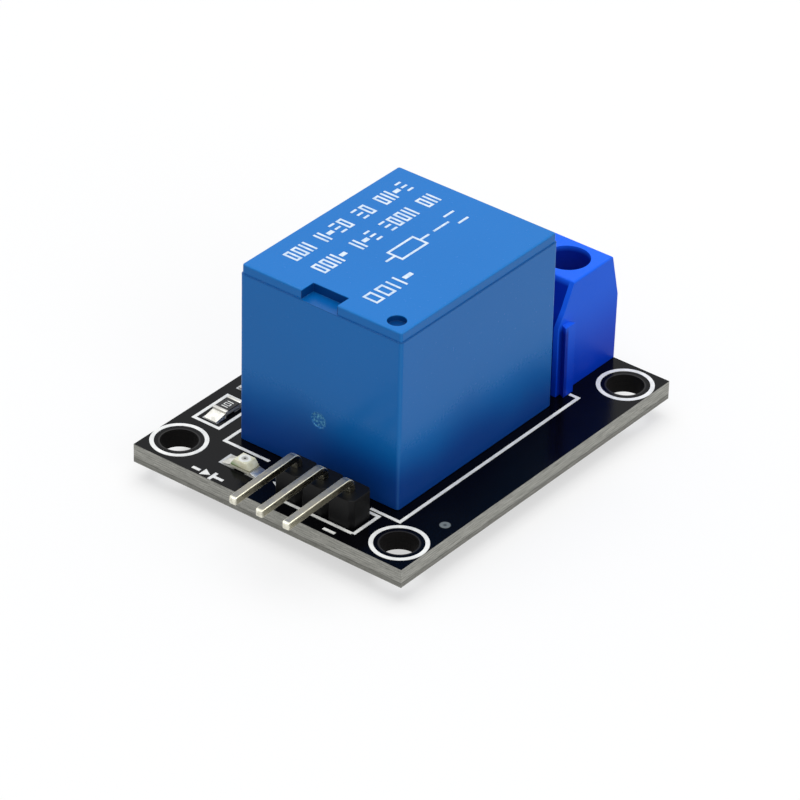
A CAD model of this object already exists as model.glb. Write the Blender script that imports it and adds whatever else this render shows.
"""The relay module board with its real finishes, on a pale floor in soft studio light.

The sections follow the board as it is put together: bare board, print, pins and solder, chip parts, header,
relay, terminal block. Lengths in the sections are millimetres; MM turns them into Blender's metres."""

import itertools
import math

import bpy
from mathutils import Matrix, Vector


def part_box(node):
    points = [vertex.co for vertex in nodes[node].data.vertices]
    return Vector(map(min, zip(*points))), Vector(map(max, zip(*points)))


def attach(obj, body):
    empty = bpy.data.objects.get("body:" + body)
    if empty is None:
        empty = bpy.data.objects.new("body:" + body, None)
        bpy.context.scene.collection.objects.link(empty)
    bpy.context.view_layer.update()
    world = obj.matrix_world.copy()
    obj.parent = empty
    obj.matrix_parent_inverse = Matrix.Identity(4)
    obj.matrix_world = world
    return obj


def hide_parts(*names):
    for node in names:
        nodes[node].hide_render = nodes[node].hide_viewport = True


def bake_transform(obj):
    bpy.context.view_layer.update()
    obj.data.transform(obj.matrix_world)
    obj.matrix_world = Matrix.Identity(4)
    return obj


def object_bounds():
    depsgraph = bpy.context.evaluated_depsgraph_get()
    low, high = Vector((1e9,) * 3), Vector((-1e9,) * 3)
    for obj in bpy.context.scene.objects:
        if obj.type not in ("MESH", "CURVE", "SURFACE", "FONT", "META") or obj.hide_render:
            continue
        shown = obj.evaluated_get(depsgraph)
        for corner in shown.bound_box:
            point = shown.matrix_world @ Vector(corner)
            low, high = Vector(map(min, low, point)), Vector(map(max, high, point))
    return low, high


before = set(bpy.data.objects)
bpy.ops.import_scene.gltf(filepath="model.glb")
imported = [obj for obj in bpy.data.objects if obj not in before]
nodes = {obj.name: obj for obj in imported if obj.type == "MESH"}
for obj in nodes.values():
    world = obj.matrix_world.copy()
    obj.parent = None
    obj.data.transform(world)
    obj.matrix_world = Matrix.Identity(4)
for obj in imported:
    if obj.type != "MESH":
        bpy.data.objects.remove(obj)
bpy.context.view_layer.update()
MM = 0.001


# Circuit board
# A sheet of glass and resin laminate, 1.6 mm thick, under a glossy black mask. It is sawn from a panel, so
# its edges show the bare layers and its corners are sharp. The drilled holes are bare inside.

def wire(tree, kind, inputs=None, **settings):
    """A shader node with its settings and its inputs, each a plain value or another node's output."""
    node = tree.nodes.new(kind)
    for setting, value in settings.items():
        setattr(node, setting, value)
    for socket, value in (inputs or {}).items():
        if isinstance(value, bpy.types.NodeSocket):
            tree.links.new(value, node.inputs[socket])
        else:
            node.inputs[socket].default_value = value
    return node


def feed(tree, node, **values):
    """Drive a node's inputs, each named with _ for a blank."""
    for socket, value in values.items():
        tree.links.new(value, node.inputs[socket.replace("_", " ")])


def sums(tree, operation, first, second=0.0, third=0.0):
    """The result of one step of arithmetic on shader values."""
    return wire(tree, "ShaderNodeMath", {0: first, 1: second, 2: third}, operation=operation).outputs[0]


def gap(tree, value, level):
    """How far a value is from a level, either way."""
    return sums(tree, "ABSOLUTE", sums(tree, "SUBTRACT", value, level))


def sway(tree, value, clouds, width):
    """A value moved to and fro by cloudy values about 0.5, over a width in all."""
    return sums(tree, "MULTIPLY_ADD", sums(tree, "SUBTRACT", clouds, 0.5), width, value)


def stretch(tree, value, low, high, start=0.0, end=1.0, way="LINEAR"):
    """A value's run from low to high spread out to run from start to end, and no further."""
    inputs = {"Value": value, "From Min": low, "From Max": high, "To Min": start, "To Max": end}
    return wire(tree, "ShaderNodeMapRange", inputs, interpolation_type=way).outputs[0]


def noise(tree, place, scale, detail=2.0, roughness=0.5):
    """Cloudy values about 0.5, with scale features to the metre."""
    inputs = {"Vector": place, "Scale": scale, "Detail": detail, "Roughness": roughness}
    return wire(tree, "ShaderNodeTexNoise", inputs).outputs[0]


def axes(tree, vector):
    """A vector's three parts, along x, y and z."""
    return wire(tree, "ShaderNodeSeparateXYZ", {0: vector}).outputs


def away_from(tree, place, spot):
    """How far a place is from a spot, in metres."""
    return wire(tree, "ShaderNodeVectorMath", {0: place, 1: spot}, operation="DISTANCE").outputs["Value"]


def away_in_plan(tree, across, along, spot):
    """How far a place is from a spot, in metres, as seen from above."""
    place = wire(tree, "ShaderNodeCombineXYZ", {0: across, 1: along}).outputs[0]
    return away_from(tree, place, (spot[0], spot[1], 0.0))


def blend_colour(tree, share, first, second):
    """A mix of two colours, all first at 0 and all second at 1."""
    return wire(tree, "ShaderNodeMix", {0: share, 6: first, 7: second}, data_type="RGBA").outputs[2]


def shade(red, green, blue):
    """A screen colour from 0 to 255 as the linear colour that a shader takes."""
    return (*[((part / 255 + 0.055) / 1.055) ** 2.4 if part > 10 else part / 255 / 12.92
              for part in (red, green, blue)], 1.0)


def fresh_material(name, **constants):
    """A material with one shader, its constant values, and the piece's own Object coordinates."""
    material = bpy.data.materials.new(name)
    material.use_nodes = True
    tree = material.node_tree
    shader = tree.nodes["Principled BSDF"]
    for socket, value in constants.items():
        shader.inputs[socket.replace("_", " ")].default_value = value
    place = wire(tree, "ShaderNodeTexCoord").outputs["Object"]
    return material, tree, shader, place


def relief(tree, shader, height, depth):
    """Drive the surface's normal from a height that is depth millimetres at 1."""
    bump = wire(tree, "ShaderNodeBump", {"Height": height, "Strength": 1.0, "Distance": depth * MM})
    feed(tree, shader, Normal=bump.outputs["Normal"])


def hold(piece):
    """Select one piece alone, or nothing, in object mode."""
    if bpy.context.mode != "OBJECT":
        bpy.ops.object.mode_set(mode="OBJECT")
    bpy.ops.object.select_all(action="DESELECT")
    if piece:
        piece.select_set(True)
        bpy.context.view_layer.objects.active = piece


def pick(piece, kind, wanted):
    """Edit a piece with those faces, edges or corners selected that wanted takes by place and direction."""
    hold(piece)
    bpy.ops.object.mode_set(mode="EDIT")
    bpy.ops.mesh.select_mode(type=kind)
    bpy.ops.mesh.select_all(action="DESELECT")
    bpy.ops.object.mode_set(mode="OBJECT")
    mesh = piece.data
    if kind == "FACE":
        for face in mesh.polygons:
            face.select = wanted(face.center / MM, face.normal)
    elif kind == "EDGE":
        for edge in mesh.edges:
            start, end = (mesh.vertices[corner].co / MM for corner in edge.vertices)
            edge.select = wanted((start + end) / 2, end - start)
    else:
        for corner in mesh.vertices:
            corner.select = wanted(corner.co / MM, corner.normal)
    bpy.ops.object.mode_set(mode="EDIT")


def round_edges(piece, width, segments=2, angle=40):
    """Round every edge sharper than the angle."""
    hold(piece)
    rounding = piece.modifiers.new("rounding", "BEVEL")
    rounding.width = width * MM
    rounding.segments = segments
    rounding.limit_method = "ANGLE"
    rounding.angle_limit = math.radians(angle)
    bpy.ops.object.modifier_apply(modifier=rounding.name)


weld_reach = 0.0005 * MM


def softened(node, name, width=0.0, segments=2):
    """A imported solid's mesh copied, its flat faces made whole and its edges rounded by a width, if any."""
    piece = bpy.data.objects.new(name, nodes[node].data.copy())
    bpy.context.scene.collection.objects.link(piece)
    hold(piece)
    bpy.ops.object.mode_set(mode="EDIT")
    bpy.ops.mesh.select_all(action="SELECT")
    bpy.ops.mesh.remove_doubles(threshold=weld_reach)
    bpy.ops.mesh.dissolve_limited(angle_limit=math.radians(0.5))
    bpy.ops.object.mode_set(mode="OBJECT")
    if width:
        round_edges(piece, width, segments)
    return piece


def fit(piece, material, slot, body, *replaced):
    """Shade a finished piece and fit it: material, slot, a body unless it bends, and what it replaces."""
    hold(piece)
    bpy.ops.object.shade_smooth_by_angle(angle=math.radians(50))
    evening = piece.modifiers.new("evening", "WEIGHTED_NORMAL")
    evening.keep_sharp = True
    bpy.ops.object.modifier_apply(modifier=evening.name)
    piece.data.materials.clear()
    piece.data.materials.append(material)
    if body:
        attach(piece, body)
    if replaced:
        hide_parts(*replaced)


board_low, board_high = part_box("circuit_board")
hole_middle = (board_high.x - 2.65 * MM, board_high.y - 2.3 * MM)
dot_middle = (-10.06 * MM, -11.84 * MM, board_high.z)
mask_depth = 0.003 * MM
sawn_reach = 0.3 * MM

board_finish, tree, shader, place = fresh_material("board_finish", Specular_IOR_Level=0.1)
x, y, z = axes(tree, place)
on_top = sums(tree, "GREATER_THAN", z, board_high.z - mask_depth)
on_floor = sums(tree, "LESS_THAN", z, mask_depth)
masked = sums(tree, "MAXIMUM", on_top, on_floor)
reach_x = sums(tree, "ABSOLUTE", x)
reach_y = sums(tree, "ABSOLUTE", y)
at_side = sums(tree, "GREATER_THAN", reach_x, board_high.x - sawn_reach)
at_end = sums(tree, "GREATER_THAN", reach_y, board_high.y - sawn_reach)
sawn = sums(tree, "MAXIMUM", at_side, at_end)

# fibre layers along the sawn edges: long streaks, thin across the thickness, darker under a seam low down
layer_height = 0.2 * MM
seam_height = 0.42 * MM
flattening = 16.0
fibre_level = sums(tree, "MULTIPLY", z, flattening)
fibre_place = wire(tree, "ShaderNodeCombineXYZ", {0: sums(tree, "ADD", x, y), 2: fibre_level}).outputs[0]
fibres = noise(tree, fibre_place, 620.0, detail=5.0, roughness=0.62)
threads = noise(tree, fibre_place, 2400.0, detail=3.0, roughness=0.6)
streaks = sums(tree, "ADD", sums(tree, "MULTIPLY", fibres, 0.65), sums(tree, "MULTIPLY", threads, 0.35))
layer_wave = sums(tree, "SINE", sums(tree, "MULTIPLY", z, 2 * math.pi / layer_height))
streaks = sums(tree, "MULTIPLY_ADD", layer_wave, 0.035, streaks)
lit = stretch(tree, streaks, 0.34, 0.66)
wavy_z = sway(tree, z, fibres, 0.12 * MM)
below_seam = stretch(tree, wavy_z, 0.36 * MM, 0.44 * MM, 0.45, 0.0)
seam = stretch(tree, gap(tree, wavy_z, seam_height), 0.0, 0.07 * MM, 0.5, 0.0)
flecks = stretch(tree, noise(tree, place, 7000.0, roughness=0.7), 0.56, 0.7, 0.0, 0.35)
laminate = blend_colour(tree, lit, shade(138, 138, 131), shade(214, 213, 205))
laminate = blend_colour(tree, below_seam, laminate, shade(86, 85, 80))
laminate = blend_colour(tree, seam, laminate, shade(58, 57, 54))
laminate = blend_colour(tree, flecks, laminate, shade(92, 91, 86))
hole_wall = blend_colour(tree, lit, shade(5, 5, 6), shade(24, 22, 21))
bare = blend_colour(tree, sawn, hole_wall, laminate)

# the mask: clouded black, a pale rim where it stops short of each mounting hole, and one covered contact dot
clouds = noise(tree, place, 260.0, detail=3.0)
grit = noise(tree, place, 9000.0)
from_hole = away_in_plan(tree, reach_x, reach_y, hole_middle)
rim = stretch(tree, from_hole, 1.56 * MM, 1.66 * MM, 1.0, 0.0)
from_dot = away_from(tree, place, dot_middle)
in_dot = stretch(tree, from_dot, 0.38 * MM, 0.46 * MM, 1.0, 0.0)
dot_hollow = stretch(tree, from_dot, 0.06 * MM, 0.2 * MM)
dot_colour = blend_colour(tree, dot_hollow, shade(70, 74, 76), shade(118, 125, 127))
mask_colour = blend_colour(tree, clouds, shade(1, 1, 3), shade(9, 9, 12))
mask_colour = blend_colour(tree, rim, mask_colour, shade(48, 47, 47))
mask_colour = blend_colour(tree, in_dot, mask_colour, dot_colour)
gloss = stretch(tree, clouds, 0.3, 0.7, 0.12, 0.2)
uncovered = sums(tree, "SUBTRACT", 1.0, masked)
feed(
    tree, shader,
    Base_Color=blend_colour(tree, masked, bare, mask_colour),
    Roughness=sums(tree, "MULTIPLY_ADD", uncovered, 0.55, gloss),
)
mask_height = sums(tree, "MULTIPLY_ADD", in_dot, 0.6, sums(tree, "MULTIPLY", grit, 0.1))
surface = wire(tree, "ShaderNodeMix", {0: masked, 2: streaks, 3: mask_height}, data_type="FLOAT").outputs[0]
relief(tree, shader, surface, depth=0.03)

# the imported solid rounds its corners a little, and the sawn board's are drawn out to a point
board = softened("circuit_board", "board_laminate")
cursor = bpy.context.scene.cursor
for corner in itertools.product(*zip(board_low, board_high)):
    pick(board, "VERT", lambda spot, facing: (spot * MM - Vector(corner)).length < sawn_reach)
    cursor.location = corner
    bpy.ops.mesh.merge(type="CURSOR")
cursor.location = (0, 0, 0)
fit(board, board_finish, "solder_mask", "board", "circuit_board")


# White print on the board
# Epoxy ink pressed through a screen: a dense white that thins a little in its mass. It marks the hole rings,
# the outlines of relay, header and chips, and the polarity signs.

def clothe(node, material):
    """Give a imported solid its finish."""
    nodes[node].data.materials.clear()
    nodes[node].data.materials.append(material)


ink_finish, tree, shader, place = fresh_material("ink_finish", Specular_IOR_Level=0.3)
thinned = stretch(tree, noise(tree, place, 1500.0, detail=3.0), 0.35, 0.75)
weave = noise(tree, place, 11000.0)
feed(
    tree, shader,
    Base_Color=blend_colour(tree, thinned, shade(250, 250, 246), shade(222, 223, 221)),
    Roughness=stretch(tree, weave, 0.2, 0.8, 0.42, 0.6),
)
relief(tree, shader, weave, depth=0.006)
clothe("board_print", ink_finish)


# Pins, lands and solder on the underside
# Eleven tinned pins pass through drilled lands. Each is soldered by hand or wave from below, which leaves a
# bright concave cone that creeps up the pin.

def new_group(name, inputs, outputs):
    """An empty node group with its sockets: its tree, what comes in, and the node for what goes out."""
    tree = bpy.data.node_groups.new(name, "ShaderNodeTree")
    for label, kind in inputs:
        tree.interface.new_socket(label, in_out="INPUT", socket_type=f"NodeSocket{kind}")
    for label, kind in outputs:
        tree.interface.new_socket(label, in_out="OUTPUT", socket_type=f"NodeSocket{kind}")
    return tree, wire(tree, "NodeGroupInput").outputs, wire(tree, "NodeGroupOutput")


# plated metal: faint drawing lines, with duller and darker blotches where the plating has aged
plated_metal, given, result = new_group(
    "plated metal",
    (("Position", "Vector"), ("Colour", "Color"), ("Dull colour", "Color"), ("Lines", "Vector"),
     ("Blotches", "Float"), ("Ageing", "Float"), ("Gloss", "Float")),
    (("Colour", "Color"), ("Roughness", "Float"), ("Height", "Float")),
)
stretched = {0: given["Position"], 1: given["Lines"]}
lined_place = wire(plated_metal, "ShaderNodeVectorMath", stretched, operation="MULTIPLY").outputs[0]
lines = noise(plated_metal, lined_place, 1.0, detail=3.0)
blotch = noise(plated_metal, given["Position"], given["Blotches"], detail=4.0, roughness=0.6)
lined_blotch = stretch(plated_metal, sway(plated_metal, blotch, lines, 0.6), 0.38, 0.72)
dull = sums(plated_metal, "MULTIPLY", lined_blotch, given["Ageing"])
worn = sums(plated_metal, "MULTIPLY_ADD", dull, 0.22, given["Gloss"])
feed(
    plated_metal, result,
    Colour=blend_colour(plated_metal, dull, given["Colour"], given["Dull colour"]),
    Roughness=sums(plated_metal, "MULTIPLY_ADD", lines, 0.1, worn),
    Height=lines,
)


def grouped(name, group, depth, inputs, **constants):
    """A material whose colour, roughness and relief, depth millimetres deep, come from a node group."""
    material, tree, shader, place = fresh_material(name, **constants)
    coat = wire(tree, "ShaderNodeGroup", {"Position": place, **inputs}, node_tree=group)
    feed(tree, shader, Base_Color=coat.outputs["Colour"], Roughness=coat.outputs["Roughness"])
    relief(tree, shader, coat.outputs["Height"], depth)
    return material


def metal(name, colour, dull_colour, lines, blotches, ageing, gloss, depth):
    """A plated metal finish; lines gives how many drawing lines cross a metre along each axis."""
    return grouped(name, plated_metal, depth, {
        "Colour": colour,
        "Dull colour": dull_colour,
        "Lines": lines,
        "Blotches": blotches,
        "Ageing": ageing,
        "Gloss": gloss,
    }, Metallic=1.0)


def name_new(name):
    """The active object, named, with its place and size moved into its mesh."""
    piece = bpy.context.object
    piece.name = name
    piece.data.name = name
    bpy.ops.object.transform_apply(location=True, rotation=True, scale=True)
    return piece


def push(*step):
    """Extrude what is selected by a step."""
    bpy.ops.mesh.extrude_region_move(TRANSFORM_OT_translate={"value": Vector(step) * MM})


def traced(name, corners):
    """A line of edges from corner to corner, left all selected in edit mode."""
    hold(None)
    bpy.ops.mesh.primitive_plane_add(size=MM)
    piece = name_new(name)
    bpy.ops.object.mode_set(mode="EDIT")
    bpy.ops.mesh.select_mode(type="VERT")
    bpy.ops.mesh.select_all(action="SELECT")
    bpy.ops.mesh.merge(type="CENTER")
    bpy.ops.transform.translate(value=Vector(corners[0]) * MM)
    for start, end in zip(corners, corners[1:]):
        push(*(Vector(end) - Vector(start)))
    bpy.ops.mesh.select_all(action="SELECT")
    return piece


def put_right(piece):
    """Merge doubled points and turn every face outwards."""
    hold(piece)
    bpy.ops.object.mode_set(mode="EDIT")
    bpy.ops.mesh.select_all(action="SELECT")
    bpy.ops.mesh.remove_doubles(threshold=weld_reach)
    bpy.ops.mesh.normals_make_consistent(inside=False)
    bpy.ops.object.mode_set(mode="OBJECT")


tinned_finish = metal(
    "tinned_finish", shade(206, 205, 200), shade(150, 146, 136),
    lines=(900, 900, 900), blotches=1500, ageing=0.6, gloss=0.24, depth=0.004,
)
solder_finish = metal(
    "solder_finish", shade(222, 221, 214), shade(158, 156, 150),
    lines=(1600, 1600, 1600), blotches=1900, ageing=0.75, gloss=0.26, depth=0.01,
)
clothe("pin_lands", tinned_finish)

tail_top = -0.9
pin_play = 0.15
solder_spread = 0.43
solder_skin = 0.05
neck_low = -0.94
neck_lip = 0.04
cone_steps = 28
cone_levels = ((1.0, -0.02), (0.93, -0.1), (0.62, -0.3), (0.34, -0.58), (0.16, -0.84), (0.0, -0.93))
cones = []
for node in (
    "header_pin_1", "header_pin_2", "header_pin_3", "terminal_pin_1", "terminal_pin_2", "terminal_pin_3",
    "coil_pin_1", "coil_pin_2", "common_pin", "open_contact_blade", "closed_contact_blade",
):
    tail = [corner.co / MM for corner in nodes[node].data.vertices if corner.co.z < tail_top * MM]
    low = [min(point[axis] for point in tail) for axis in (0, 1)]
    high = [max(point[axis] for point in tail) for axis in (0, 1)]
    pin_x, pin_y = ((start + end) / 2 for start, end in zip(low, high))
    radius = math.dist(low, high) / 2
    foot = radius + pin_play + solder_spread
    neck = radius + solder_skin
    outline = [(0, cone_levels[0][1])]
    outline += [(neck + (foot - neck) * share, level) for share, level in cone_levels]
    outline += [(neck - neck_lip, neck_low), (0, neck_low)]
    corners = [(pin_x + reach, pin_y, level) for reach, level in outline]
    cone = traced(f"solder_cone_{len(cones) + 1}", corners)
    pin_middle = Vector((pin_x, pin_y, 0)) * MM
    bpy.ops.mesh.spin(steps=cone_steps, angle=2 * math.pi, center=pin_middle, axis=(0, 0, 1))
    put_right(cone)
    cones.append(cone)
hold(cones[0])
for cone in cones:
    cone.select_set(True)
bpy.ops.object.join()
solder_cones = name_new("solder_cones")
fit(solder_cones, solder_finish, "solder", "board", "solder_joints")


# Chip lands, and the solder at the chips' ends
# Tinned copper pads left open in the mask, with bright wedges of reflowed solder up each end cap. The wedges
# hold the lamp and the two resistors.

land_finish = metal(
    "land_finish", shade(198, 200, 203), shade(140, 138, 132),
    lines=(700, 700, 700), blotches=1800, ageing=0.5, gloss=0.22, depth=0.003,
)
clothe("chip_lands", land_finish)

chip_end = 1.05
chip_reach = 2.6
toe_lift = 0.1
toe_flatness = 0.2
solder_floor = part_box("chip_solder")[0].z / MM
chips = [(sum(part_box(node), Vector()) / 2 / MM, axis)
         for node, axis in (("led_carrier", 1), ("led_resistor", 0), ("base_resistor", 0))]


def is_wedge_toe(corner, facing):
    """True for a corner of the solder that lies beyond its chip's end and above the land."""
    return corner.z > solder_floor + toe_lift and any(
        (corner - middle).length < chip_reach and abs(corner[axis] - middle[axis]) > chip_end
        for middle, axis in chips
    )


fillets = softened("chip_solder", "solder_fillets")
pick(fillets, "VERT", is_wedge_toe)
bpy.ops.transform.resize(value=(1, 1, toe_flatness), center_override=(0, 0, solder_floor * MM))
round_edges(fillets, width=0.07, segments=3, angle=20)
fit(fillets, solder_finish, "solder", "board", "chip_solder")


# Chip lamp
# A pale laminate carrier with plated ends under a cloudy resin lens with sloped ends. Through its top the
# small chip shows dark in its pale cup.

# moulded skin: the faint grain and clouding that moulded plastic has
moulded_skin, given, result = new_group(
    "moulded skin",
    (("Position", "Vector"), ("Colour", "Color"), ("Grain", "Float"), ("Clouding", "Float"),
     ("Gloss", "Float")),
    (("Colour", "Color"), ("Roughness", "Float"), ("Height", "Float")),
)
grain = noise(moulded_skin, given["Position"], given["Grain"], detail=3.0)
cloud_scale = sums(moulded_skin, "MULTIPLY", given["Grain"], 0.02)
clouds = noise(moulded_skin, given["Position"], cloud_scale)
tinted = {0: given["Colour"], "Scale": sway(moulded_skin, 1.0, clouds, given["Clouding"])}
feed(
    moulded_skin, result,
    Colour=wire(moulded_skin, "ShaderNodeVectorMath", tinted, operation="SCALE").outputs[0],
    Roughness=sway(moulded_skin, given["Gloss"], grain, 0.12),
    Height=grain,
)


def plastic(name, colour, grain, clouding, gloss, depth, specular=0.5):
    """A moulded finish; grain is how many grains cross a metre and depth how deep they are in millimetres."""
    return grouped(name, moulded_skin, depth, {
        "Colour": colour,
        "Grain": grain,
        "Clouding": clouding,
        "Gloss": gloss,
    }, Specular_IOR_Level=specular)


def block(name, low, high):
    """A box between two corners, to be worked further."""
    hold(None)
    bpy.ops.mesh.primitive_cube_add(size=1)
    piece = bpy.context.object
    piece.scale = [(end - start) * MM for start, end in zip(low, high)]
    piece.location = [(end + start) / 2 * MM for start, end in zip(low, high)]
    return name_new(name)


def facing_of(tree):
    """The surface's direction, along x, y and z."""
    return axes(tree, wire(tree, "ShaderNodeTexCoord").outputs["Normal"])


carrier_finish = plastic(
    "carrier_finish", shade(214, 212, 196), grain=9000, clouding=0.2, gloss=0.5, depth=0.003,
)
clothe("led_carrier", carrier_finish)
clothe("led_end_caps", tinned_finish)

lens_low, lens_high = (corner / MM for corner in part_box("led_lens"))
lens_foot = 0.12
end_slope = 0.34
side_taper = 0.98
lens_bevel = 0.03
lens = block("led_lens_clear", lens_low, (lens_high.x, lens_high.y, lens_low.z + lens_foot))
pick(lens, "FACE", lambda middle, facing: facing.z > 0.5)
push(0, 0, lens_high.z - lens_low.z - lens_foot)
bpy.ops.transform.resize(value=(side_taper, 1 - 2 * end_slope / (lens_high.y - lens_low.y), 1))
pick(lens, "EDGE", lambda middle, run: True)
bpy.ops.mesh.bevel(offset=lens_bevel * MM, segments=2, affect="EDGES")

# milky resin, greenish low down at one end and olive along its foot
lens_finish, tree, shader, place = fresh_material("lens_finish", Roughness=0.18, Specular_IOR_Level=0.5)
murk = noise(tree, place, 2600.0, detail=3.0)
across, along, up = axes(tree, place)
green_end = stretch(tree, along, (lens_low.y + 0.8) * MM, (lens_high.y - 0.2) * MM)
green_foot = stretch(tree, up, lens_low.z * MM, (lens_low.z + 0.45) * MM, 1.0, 0.0)
green = sums(tree, "MULTIPLY", green_end, green_foot)
olive = stretch(tree, up, (lens_low.z + 0.06) * MM, (lens_low.z + 0.14) * MM, 0.75, 0.0)
resin = blend_colour(tree, stretch(tree, murk, 0.3, 0.7), shade(252, 250, 226), shade(232, 228, 192))
resin = blend_colour(tree, green, resin, shade(132, 190, 116))
resin = blend_colour(tree, olive, resin, shade(104, 96, 50))

# on the level top: the cup as a pale ring about the dark chip
lamp_middle = (lens_low + lens_high) / 2 * MM
from_chip = away_in_plan(tree, across, along, lamp_middle)
uneven_reach = sway(tree, from_chip, murk, 0.12 * MM)
level_top = stretch(tree, facing_of(tree)[2], 0.9, 0.98)
for near, far, tone in (
    (0.44, 0.56, shade(255, 255, 246)),
    (0.22, 0.32, shade(206, 204, 192)),
    (0.06, 0.13, shade(58, 56, 48)),
):
    inside = stretch(tree, uneven_reach, near * MM, far * MM, 1.0, 0.0)
    resin = blend_colour(tree, sums(tree, "MULTIPLY", inside, level_top), resin, tone)
feed(tree, shader, Base_Color=resin)
relief(tree, shader, murk, depth=0.006)
fit(lens, lens_finish, "lens_resin", "board", "led_lens")


# Chip resistors
# White ceramic slips with a black glaze on top, plated caps round both ends and a plain number printed on the
# glaze. A machine places them, and the oven's heat solders their ends.

def inside_bar(tree, across, along, centre, half):
    """One where a place lies in a bar about a centre, and zero elsewhere."""
    inside = 1.0
    for value, middle, reach in zip((across, along), centre, half):
        within = sums(tree, "LESS_THAN", gap(tree, value, middle * MM), reach * MM)
        inside = sums(tree, "MULTIPLY", inside, within)
    return inside


cap_finish = metal(
    "cap_finish", shade(214, 213, 208), shade(170, 166, 158),
    lines=(1200, 1200, 1200), blotches=2200, ageing=0.5, gloss=0.34, depth=0.003,
)
one_stroke = (0.045, 0.3)
zero_side = (0.035, 0.3)
zero_end = (0.13, 0.04)
number_bars = (
    ((-0.36, 0), one_stroke), ((0.36, 0), one_stroke),
    ((-0.13, 0), zero_side), ((0.13, 0), zero_side),
    ((0, 0.26), zero_end), ((0, -0.26), zero_end),
)
glaze_edge = 0.01
glaze_drop = 0.1
for node in ("led_resistor", "base_resistor"):
    slip_low, slip_high = (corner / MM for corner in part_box(node))
    middle = (slip_low + slip_high) / 2
    glaze_finish, tree, shader, place = fresh_material(f"{node}_glaze", Specular_IOR_Level=0.35)
    across, along, up = axes(tree, place)
    marks = 0.0
    for centre, half in number_bars:
        bar = inside_bar(tree, across, along, (middle.x + centre[0], middle.y + centre[1]), half)
        marks = sums(tree, "MAXIMUM", marks, bar)
    upper = sums(tree, "GREATER_THAN", up, (slip_high.z - glaze_edge) * MM)
    lower = sums(tree, "LESS_THAN", up, (slip_high.z - glaze_drop) * MM)
    speckle = noise(tree, place, 14000.0, detail=3.0)
    glaze = blend_colour(tree, speckle, shade(14, 14, 15), shade(34, 34, 36))
    glaze = blend_colour(tree, lower, glaze, shade(196, 192, 182))
    glaze = blend_colour(tree, sums(tree, "MULTIPLY", marks, upper), glaze, shade(246, 246, 240))
    feed(tree, shader, Base_Color=glaze, Roughness=stretch(tree, speckle, 0.3, 0.7, 0.3, 0.45))
    relief(tree, shader, speckle, depth=0.004)
    slip = softened(node, f"{node}_slip", width=0.03)
    fit(slip, glaze_finish, "chip_coat", "board", node)
    caps = softened(f"{node}_caps", f"{node}_ends", width=0.03)
    fit(caps, cap_finish, "tinned_copper", "board", f"{node}_caps")


# Coil driver and diode
# Two black epoxy mouldings with bent tinned legs. A machine places them on the strip behind the relay, where
# their feet are soldered to the lands.

epoxy_finish = plastic(
    "epoxy_finish", shade(26, 26, 28), grain=16000, clouding=0.5, gloss=0.5, depth=0.012,
)
leg_finish = metal(
    "leg_finish", shade(202, 202, 200), shade(150, 147, 140),
    lines=(1500, 1500, 300), blotches=2000, ageing=0.5, gloss=0.26, depth=0.004,
)
for node in ("transistor_case", "diode_case"):
    moulding = softened(node, f"{node}_moulding", width=0.05)
    fit(moulding, epoxy_finish, "moulding_black", "board", node)
for node in ("transistor_legs", "diode_legs"):
    clothe(node, leg_finish)


# Pin header
# A black moulded strip of three poles with notches between them, pushed down on the board, and three square
# pins bent to lie level over the board's edge. The pins are tinned brass with a chamfered point.

def reopened(material):
    """A grouped finish's tree, shader, group node and Object coordinates, to be painted further."""
    tree = material.node_tree
    coat = next(node for node in tree.nodes if node.bl_idname == "ShaderNodeGroup")
    return tree, tree.nodes["Principled BSDF"], coat, coat.inputs["Position"].links[0].from_socket


def drawn(name, corners):
    """A closed flat face, drawn corner by corner."""
    piece = traced(name, corners)
    bpy.ops.mesh.edge_face_add()
    bpy.ops.object.mode_set(mode="OBJECT")
    return piece


strip_finish = plastic(
    "strip_finish", shade(11, 11, 12), grain=7000, clouding=0.5, gloss=0.42, depth=0.008, specular=0.16,
)
strip = softened("header_body", "header_strip", width=0.06, segments=3)
fit(strip, strip_finish, "header_plastic", "board", "header_body")

# the pins are grey on top, cream on flanks and rounded edges, darker inwards and bright at the cut point
pin_cream = shade(240, 236, 212)
pin_finish = metal(
    "pin_finish", pin_cream, shade(160, 154, 136),
    lines=(260, 9000, 9000), blotches=900, ageing=0.7, gloss=0.17, depth=0.0025,
)
tree, shader, coat, place = reopened(pin_finish)
across = axes(tree, place)[0]
_, sideways, upward = facing_of(tree)
tip_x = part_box("header_pin_1")[0].x
level_face = stretch(tree, upward, 0.95, 0.995)
flank = stretch(tree, sums(tree, "ABSOLUTE", sideways), 0.9, 0.99)
inward = stretch(tree, across, tip_x + 0.6 * MM, tip_x + 4.0 * MM, 0.1, 0.8)
at_tip = stretch(tree, across, tip_x + 0.2 * MM, tip_x + 0.3 * MM, 1.0, 0.0)
pin_tone = blend_colour(tree, level_face, pin_cream, shade(136, 135, 132))
pin_tone = blend_colour(tree, sums(tree, "MULTIPLY", flank, inward), pin_tone, shade(92, 84, 52))
pin_tone = blend_colour(tree, at_tip, pin_tone, shade(255, 252, 234))
steepness = sums(tree, "ABSOLUTE", upward)
off_flank = stretch(tree, steepness, 0.2, 0.5)
off_level = stretch(tree, steepness, 0.85, 0.98, 1.0, 0.0)
dressed = sums(tree, "MAXIMUM", sums(tree, "MULTIPLY", off_flank, off_level), at_tip)
feed(tree, coat, Colour=pin_tone)
feed(
    tree, shader,
    Metallic=stretch(tree, dressed, 0.0, 1.0, 1.0, 0.45),
    Roughness=sums(tree, "MULTIPLY_ADD", level_face, 0.24, coat.outputs["Roughness"]),
)

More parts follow.
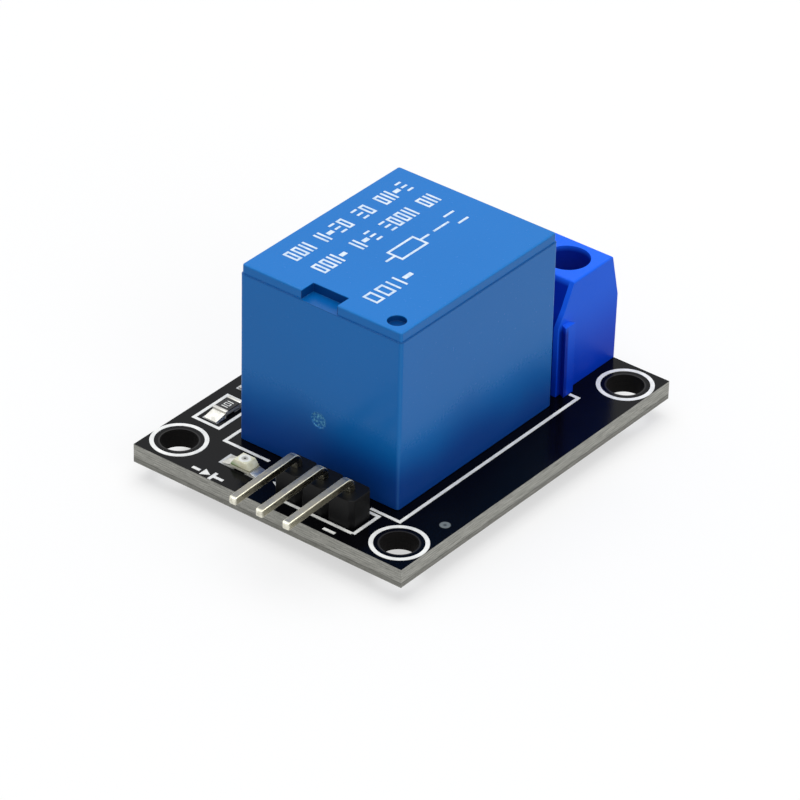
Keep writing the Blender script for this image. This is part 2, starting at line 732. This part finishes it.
pin_half = 0.32
bend_inside = 0.3
bend_steps = 10
droop = 0.25
point = 0.16
point_share = 0.6
header_lift = 0.56
bend_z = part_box("header_body")[1].z / MM + header_lift - bend_inside
square = ((-pin_half, -pin_half), (pin_half, -pin_half), (pin_half, pin_half), (-pin_half, pin_half))
for step in (1, 2, 3):
    low, high = (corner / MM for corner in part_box(f"header_pin_{step}"))
    stem_x = high.x - pin_half
    stem_y = (low.y + high.y) / 2
    pin = drawn(f"header_pin_{step}_bent", [(stem_x + wide, stem_y + deep, low.z) for wide, deep in square])
    pick(pin, "FACE", lambda middle, facing: True)
    push(0, 0, bend_z - low.z)
    bend_x = stem_x - pin_half - bend_inside
    bend_centre = Vector((bend_x, stem_y, bend_z)) * MM
    bpy.ops.mesh.spin(steps=bend_steps, angle=math.pi / 2, center=bend_centre, axis=(0, 1, 0))
    reach = bend_x - low.x
    for length, narrowing in ((reach - point, 1), (point, point_share)):
        push(-length, 0, -droop * length / reach)
        bpy.ops.transform.resize(value=(1, narrowing, narrowing))
    put_right(pin)
    round_edges(pin, width=0.07, segments=3)
    fit(pin, pin_finish, "header_pin_metal", "board", f"header_pin_{step}")


# Inside the relay
# A folded steel yoke with a riveted core and a wound bobbin pulls a steel plate. The plate hangs on a bronze
# leaf that carries the moving contact between two fixed blades. None of it shows until the case is off.

iron_finish = metal(
    "iron_finish", shade(176, 176, 178), shade(128, 126, 122),
    lines=(800, 800, 3000), blotches=700, ageing=0.5, gloss=0.3, depth=0.006,
)
silver_finish = metal(
    "silver_finish", shade(214, 212, 204), shade(166, 160, 146),
    lines=(1500, 1500, 1500), blotches=2500, ageing=0.5, gloss=0.36, depth=0.004,
)
blade_finish = metal(
    "blade_finish", shade(204, 196, 176), shade(156, 140, 108),
    lines=(700, 700, 3500), blotches=900, ageing=0.5, gloss=0.24, depth=0.005,
)
bronze_finish = metal(
    "bronze_finish", shade(206, 150, 92), shade(150, 100, 62),
    lines=(700, 4000, 700), blotches=900, ageing=0.5, gloss=0.24, depth=0.004,
)
base_finish = plastic(
    "base_finish", shade(18, 62, 124), grain=6000, clouding=0.3, gloss=0.5, depth=0.012,
)
bobbin_finish = plastic(
    "bobbin_finish", shade(222, 218, 208), grain=5000, clouding=0.15, gloss=0.45, depth=0.01,
)

# enamelled copper, wound turn by turn
wire_pitch = 0.07 * MM
wire_finish, tree, shader, place = fresh_material("wire_finish", Metallic=0.75, Specular_IOR_Level=0.5)
turns = sums(tree, "SINE", sums(tree, "MULTIPLY", axes(tree, place)[2], 2 * math.pi / wire_pitch))
uneven = noise(tree, place, 1400.0, detail=3.0)
copper = blend_colour(tree, stretch(tree, turns, -1.0, 1.0), shade(120, 52, 22), shade(196, 104, 52))
copper = blend_colour(tree, sums(tree, "MULTIPLY", uneven, 0.4), copper, shade(90, 40, 20))
feed(tree, shader, Base_Color=copper, Roughness=stretch(tree, uneven, 0.3, 0.7, 0.22, 0.4))
relief(tree, shader, turns, depth=0.012)

for material, dressed_nodes in (
    (iron_finish, ("yoke", "iron_core", "armature")),
    (silver_finish, ("moving_contact", "open_contact_button", "closed_contact_button")),
    (blade_finish, ("open_contact_blade", "closed_contact_blade", "common_pin", "coil_pin_1", "coil_pin_2")),
    (base_finish, ("relay_base",)),
    (bobbin_finish, ("coil_bobbin",)),
    (wire_finish, ("coil_winding",)),
):
    for node in dressed_nodes:
        clothe(node, material)

# the leaf: up the yoke's back, round a fold, and level along the armature
leaf_low, leaf_high = (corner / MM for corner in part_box("contact_spring"))
leaf_thickness = 0.15
fold_radius = 0.6
fold_steps = 8
fold_x = leaf_low.x + fold_radius
fold_z = leaf_high.z - fold_radius
stops_below = (1.2, 0.4)
stops_beyond = (0.5, 2.0, 6.0)
outer = [(leaf_low.x, leaf_low.z)] + [(leaf_low.x, fold_z - stop) for stop in stops_below]
inner = [(leaf_low.x + leaf_thickness, level) for _, level in outer]
for line, radius in ((outer, fold_radius), (inner, fold_radius - leaf_thickness)):
    for step in range(fold_steps + 1):
        turn = math.pi / 2 * step / fold_steps
        line.append((fold_x - radius * math.cos(turn), fold_z + radius * math.sin(turn)))
    for level_x in (*[fold_x + stop for stop in stops_beyond], leaf_high.x):
        line.append((level_x, fold_z + radius))
leaf = drawn("contact_leaf", [(leaf_x, leaf_low.y, leaf_z) for leaf_x, leaf_z in outer + inner[::-1]])
pick(leaf, "FACE", lambda middle, facing: True)
push(0, leaf_high.y - leaf_low.y, 0)
put_right(leaf)
fit(leaf, bronze_finish, "spring_bronze", None, "contact_spring")
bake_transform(leaf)


# Relay case
# A deep blue moulding, open below and pressed over the relay's base. A narrower band runs round its top,
# with a notch for the mould's gate, a vent pit in one corner and an ejector pin's round mark low on one side.

def rod(name, centre, radius, length, facing="z", sides=48):
    """A cylinder about a centre, along one axis, to be worked further."""
    hold(None)
    turn = {"x": (0, math.pi / 2, 0), "z": (0, 0, 0)}[facing]
    bpy.ops.mesh.primitive_cylinder_add(
        vertices=sides, radius=radius * MM, depth=length * MM, location=Vector(centre) * MM, rotation=turn
    )
    return name_new(name)


def cut(piece, tool):
    """Take the tool's space out of the piece, and put the tool away."""
    hold(piece)
    cutter = piece.modifiers.new("cut", "BOOLEAN")
    cutter.operation = "DIFFERENCE"
    cutter.solver = "EXACT"
    cutter.object = tool
    bpy.ops.object.modifier_apply(modifier=cutter.name)
    bpy.data.objects.remove(tool)


case_low, case_high = (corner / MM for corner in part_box("relay_cover"))
case_middle = (case_low + case_high) / 2
band_height = 0.8
band_inset = 0.1
wall = 0.8
roof = 1.2
corner_radius = 0.3
rim_radius = 0.14
notch_half = 1.7
notch_depth = 1.5
notch_y = case_middle.y + 0.15
vent_radius = 0.75
vent_place = (case_low.x + 1.35, case_low.y + 1.52, case_high.z)
mark_place = (case_low.x, case_middle.y, 6.5)
step_z = case_high.z - band_height

case = block("relay_case", case_low, (case_high.x, case_high.y, step_z))
pick(case, "EDGE", lambda middle, run: abs(run.z) > 1)
bpy.ops.mesh.bevel(offset=corner_radius * MM, segments=5, affect="EDGES")
pick(case, "FACE", lambda middle, facing: facing.z > 0.9)
bpy.ops.mesh.inset(thickness=band_inset * MM)
push(0, 0, band_height)
pick(case, "FACE", lambda middle, facing: facing.z < -0.9)
bpy.ops.mesh.inset(thickness=wall * MM)
push(0, 0, case_high.z - roof - case_low.z)
pick(case, "EDGE", lambda middle, run: middle.z > case_high.z - 0.01 and abs(run.z) < 0.01)
bpy.ops.mesh.bevel(offset=rim_radius * MM, segments=4, affect="EDGES")
notch_low = (case_low.x - 1, notch_y - notch_half, step_z)
notch_high = (case_low.x + notch_depth, notch_y + notch_half, case_high.z + 1)
cut(case, block("notch", notch_low, notch_high))
cut(case, rod("vent", vent_place, vent_radius, length=1.0))
cut(case, rod("ejector", mark_place, radius=0.65, length=0.16, facing="x"))
round_edges(case, width=0.045)

# the blue deepens towards the foot and pales a little along the rounded edges
case_finish = plastic(
    "case_finish", shade(4, 115, 198), grain=4200, clouding=0.12, gloss=0.25, depth=0.003, specular=0.2,
)
tree, shader, skin, place = reopened(case_finish)
across, along, height = axes(tree, place)
uneven_height = sway(tree, height, noise(tree, place, 110.0, detail=1.0), 5.0 * MM)
foot_share = stretch(tree, uneven_height, 2.5 * MM, 8.5 * MM, 1.0, 0.0, way="SMOOTHSTEP")
squareness = 0.0
for side in facing_of(tree):
    squareness = sums(tree, "MAXIMUM", squareness, sums(tree, "ABSOLUTE", side))
edge_share = stretch(tree, squareness, 0.78, 0.97, 0.12, 0.0)
body_tone = blend_colour(tree, foot_share, shade(4, 115, 198), shade(0, 66, 150))
body_tone = blend_colour(tree, edge_share, body_tone, shade(92, 170, 226))

# dirt darkens the step under the top band, and the walls of the notch and the vent lie in shade
step_dirt = stretch(tree, gap(tree, height, step_z * MM), 0.03 * MM, 0.09 * MM, 0.5, 0.0)
body_tone = blend_colour(tree, step_dirt, body_tone, shade(0, 50, 110))
shade_spill = 0.06
notch_reach = (band_inset + notch_depth + shade_spill) / 2
notch_middle = (case_low.x + notch_reach, notch_y)
notch_halves = (notch_reach - band_inset, notch_half + shade_spill)
in_notch = inside_bar(tree, across, along, notch_middle, notch_halves)
above_step = sums(tree, "GREATER_THAN", height, (step_z + 0.03) * MM)
from_vent = away_in_plan(tree, across, along, Vector(vent_place) * MM)
in_vent = sums(tree, "LESS_THAN", from_vent, (vent_radius + 0.04) * MM)
hollow = sums(tree, "MAXIMUM", sums(tree, "MULTIPLY", in_notch, above_step), in_vent)
below_top = stretch(tree, height, (case_high.z - 0.12) * MM, (case_high.z - 0.02) * MM, 0.85, 0.0)
body_tone = blend_colour(tree, sums(tree, "MULTIPLY", hollow, below_top), body_tone, shade(0, 44, 104))

# the ejector pin left a speckled ring
from_mark = away_from(tree, place, Vector(mark_place) * MM)
scuffs = stretch(tree, noise(tree, place, 6500.0, detail=3.0, roughness=0.7), 0.46, 0.6)
mark_share = sums(tree, "MULTIPLY", scuffs, stretch(tree, from_mark, 0.6 * MM, 0.78 * MM, 0.65, 0.0))
feed(tree, skin, Colour=blend_colour(tree, mark_share, body_tone, shade(120, 206, 232)))
feed(tree, shader, Roughness=sums(tree, "MULTIPLY_ADD", foot_share, 0.3, skin.outputs["Roughness"]))
fit(case, case_finish, "case_plastic", "board", "relay_cover")

print_finish, tree, shader, place = fresh_material("print_finish", Specular_IOR_Level=0.35)
thin = noise(tree, place, 1900.0, detail=4.0, roughness=0.6)
feed(
    tree, shader,
    Base_Color=blend_colour(tree, stretch(tree, thin, 0.4, 0.75), shade(222, 234, 246), shade(164, 198, 232)),
    Roughness=stretch(tree, thin, 0.3, 0.7, 0.45, 0.6),
)
relief(tree, shader, thin, depth=0.006)
clothe("case_print", print_finish)


# Screw terminal
# A bright blue moulding of three poles, 5.08 mm apart, with a dovetail rib on one end and its groove in the
# other. Each pole has a round well over a plated clamping screw and a wire entry before a lifting steel cage.

terminal_finish = plastic(
    "terminal_finish", shade(26, 104, 250), grain=5200, clouding=0.12, gloss=0.4, depth=0.005, specular=0.1,
)
tree, _, skin, place = reopened(terminal_finish)
across, along, height = axes(tree, place)
foot_share = stretch(tree, height, 9.5 * MM, 2.0 * MM, way="SMOOTHSTEP")
body_tone = blend_colour(tree, foot_share, shade(30, 106, 250), shade(2, 62, 208))

# the wells and the back's recesses darken from their rims down
half_pitch = 2.54 * MM
well_x = 13.56 * MM
well_radius = 1.84 * MM
recess_front = 11.0 * MM
recess_half = 7.2 * MM
wrapped = {0: along, 1: -half_pitch, 2: half_pitch}
in_pole = wire(tree, "ShaderNodeMath", wrapped, operation="WRAP").outputs[0]
in_well = sums(tree, "LESS_THAN", away_in_plan(tree, across, in_pole, (well_x, 0.0)), well_radius)
behind = sums(tree, "LESS_THAN", across, recess_front)
between_ends = sums(tree, "LESS_THAN", sums(tree, "ABSOLUTE", along), recess_half)
deep = sums(tree, "MAXIMUM", in_well, sums(tree, "MULTIPLY", behind, between_ends))
deep = sums(tree, "MULTIPLY", deep, stretch(tree, height, 10.7 * MM, 11.12 * MM, 1.0, 0.0))

# so does the slit between the end's edge and its rib
slit = 0.9
for share in (
    stretch(tree, across, 9.26 * MM, 9.4 * MM),
    stretch(tree, across, 9.75 * MM, 9.9 * MM, 1.0, 0.0),
    sums(tree, "LESS_THAN", along, -7.6 * MM),
    stretch(tree, height, 7.3 * MM, 8.0 * MM, 1.0, 0.0),
):
    slit = sums(tree, "MULTIPLY", slit, share)
deep = sums(tree, "MAXIMUM", deep, slit)
feed(tree, skin, Colour=blend_colour(tree, deep, body_tone, shade(2, 40, 160)))
housing = softened("terminal_housing", "terminal_moulding", width=0.07)
fit(housing, terminal_finish, "terminal_plastic", "board", "terminal_housing")

zinc_finish = metal(
    "zinc_finish", shade(190, 190, 194), shade(140, 138, 134),
    lines=(900, 900, 2600), blotches=900, ageing=0.5, gloss=0.26, depth=0.006,
)
tongue_finish = metal(
    "tongue_finish", shade(206, 200, 186), shade(160, 146, 118),
    lines=(900, 2600, 900), blotches=900, ageing=0.5, gloss=0.24, depth=0.005,
)
for step in (1, 2, 3):
    screw = softened(f"clamp_screw_{step}", f"clamp_screw_{step}_plated", width=0.06)
    fit(screw, zinc_finish, "plated_steel", f"screw_{step}", f"clamp_screw_{step}")
    cage = softened(f"clamp_cage_{step}", f"clamp_cage_{step}_plated", width=0.06)
    fit(cage, zinc_finish, "plated_steel", f"cage_{step}", f"clamp_cage_{step}")
    clothe(f"terminal_pin_{step}", tongue_finish)


# Floor, light and camera
# A wide pale sheet under the solder tails, a large soft lamp overhead, and an even pale room. Camera, gloss
# and glass see sheet and room white, and the object gets less light from them.

def seen_directly(tree):
    """One for rays from the camera, a reflection or through glass, and zero for light on the object."""
    path = wire(tree, "ShaderNodeLightPath").outputs
    reflected = sums(tree, "MAXIMUM", path["Is Glossy Ray"], path["Is Transmission Ray"])
    return sums(tree, "MAXIMUM", path["Is Camera Ray"], reflected)


def soft_lamp(name, place, aim, side, watts):
    """A square area lamp at a place, in metres, that faces aim."""
    light = bpy.data.lights.new(name, "AREA")
    light.shape = "SQUARE"
    light.size = side
    light.energy = watts
    lamp = bpy.data.objects.new(name, light)
    bpy.context.scene.collection.objects.link(lamp)
    lamp.location = place
    lamp.rotation_euler = (Vector(aim) - Vector(place)).to_track_quat("-Z", "Y").to_euler()


floor_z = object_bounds()[0].z
hold(None)
bpy.ops.mesh.primitive_plane_add(size=3.0, location=(0, 0, floor_z))
floor = name_new("floor_sheet")
floor_finish = bpy.data.materials.new("floor_finish")
floor_finish.use_nodes = True
tree = floor_finish.node_tree
shader = tree.nodes["Principled BSDF"]
shader.inputs["Roughness"].default_value = 0.9
shader.inputs["Specular IOR Level"].default_value = 0.0
seen = seen_directly(tree)
feed(tree, shader, Base_Color=blend_colour(tree, seen, (0.45, 0.45, 0.45, 1), (0.92, 0.92, 0.92, 1)))
glow = wire(tree, "ShaderNodeEmission", {"Color": (1, 1, 1, 1), "Strength": 1.0})
share = sums(tree, "MULTIPLY", seen, 0.6)
mixed = wire(tree, "ShaderNodeMixShader", {0: share, 1: shader.outputs[0], 2: glow.outputs[0]})
feed(tree, tree.nodes["Material Output"], Surface=mixed.outputs[0])
floor.data.materials.append(floor_finish)

room = bpy.data.worlds.new("pale room")
bpy.context.scene.world = room
room.use_nodes = True
tree = room.node_tree
backdrop = tree.nodes["Background"]
backdrop.inputs["Color"].default_value = (0.98, 0.99, 1, 1)
feed(tree, backdrop, Strength=stretch(tree, seen_directly(tree), 0.0, 1.0, 0.5, 1.0))

soft_lamp("overhead", (0.05, 0.05, 0.6), (0, 0, 0), side=0.6, watts=2.6)
soft_lamp("near_side", (-0.25, -0.55, 0.35), (0, 0, 0.01), side=0.35, watts=0.7)

# the photograph's viewing angle, fitted by the board's corners, its holes and the relay's edges
azimuth = math.radians(-52.23)
elevation = math.radians(33.05)
roll = math.radians(1.32)
target = Vector((1.12, 1.33, 1.6)) * MM
distance = 394.0 * MM
back = Vector((
    math.sin(azimuth) * math.cos(elevation),
    -math.cos(azimuth) * math.cos(elevation),
    math.sin(elevation),
))
level = Vector((math.cos(azimuth), math.sin(azimuth), 0))
upright = back.cross(level)
right = math.cos(roll) * level + math.sin(roll) * upright
top = math.cos(roll) * upright - math.sin(roll) * level
spot = target + back * distance
camera_data = bpy.data.cameras.new("camera")
camera_data.sensor_width = 36
camera_data.lens = 229.77
camera_data.clip_start = 0.01
camera = bpy.data.objects.new("camera", camera_data)
bpy.context.scene.collection.objects.link(camera)
camera.matrix_world = Matrix((
    (right.x, top.x, back.x, spot.x),
    (right.y, top.y, back.y, spot.y),
    (right.z, top.z, back.z, spot.z),
    (0, 0, 0, 1),
))
bpy.context.scene.camera = camera
bpy.context.scene.view_settings.view_transform = "Standard"

hold(None)
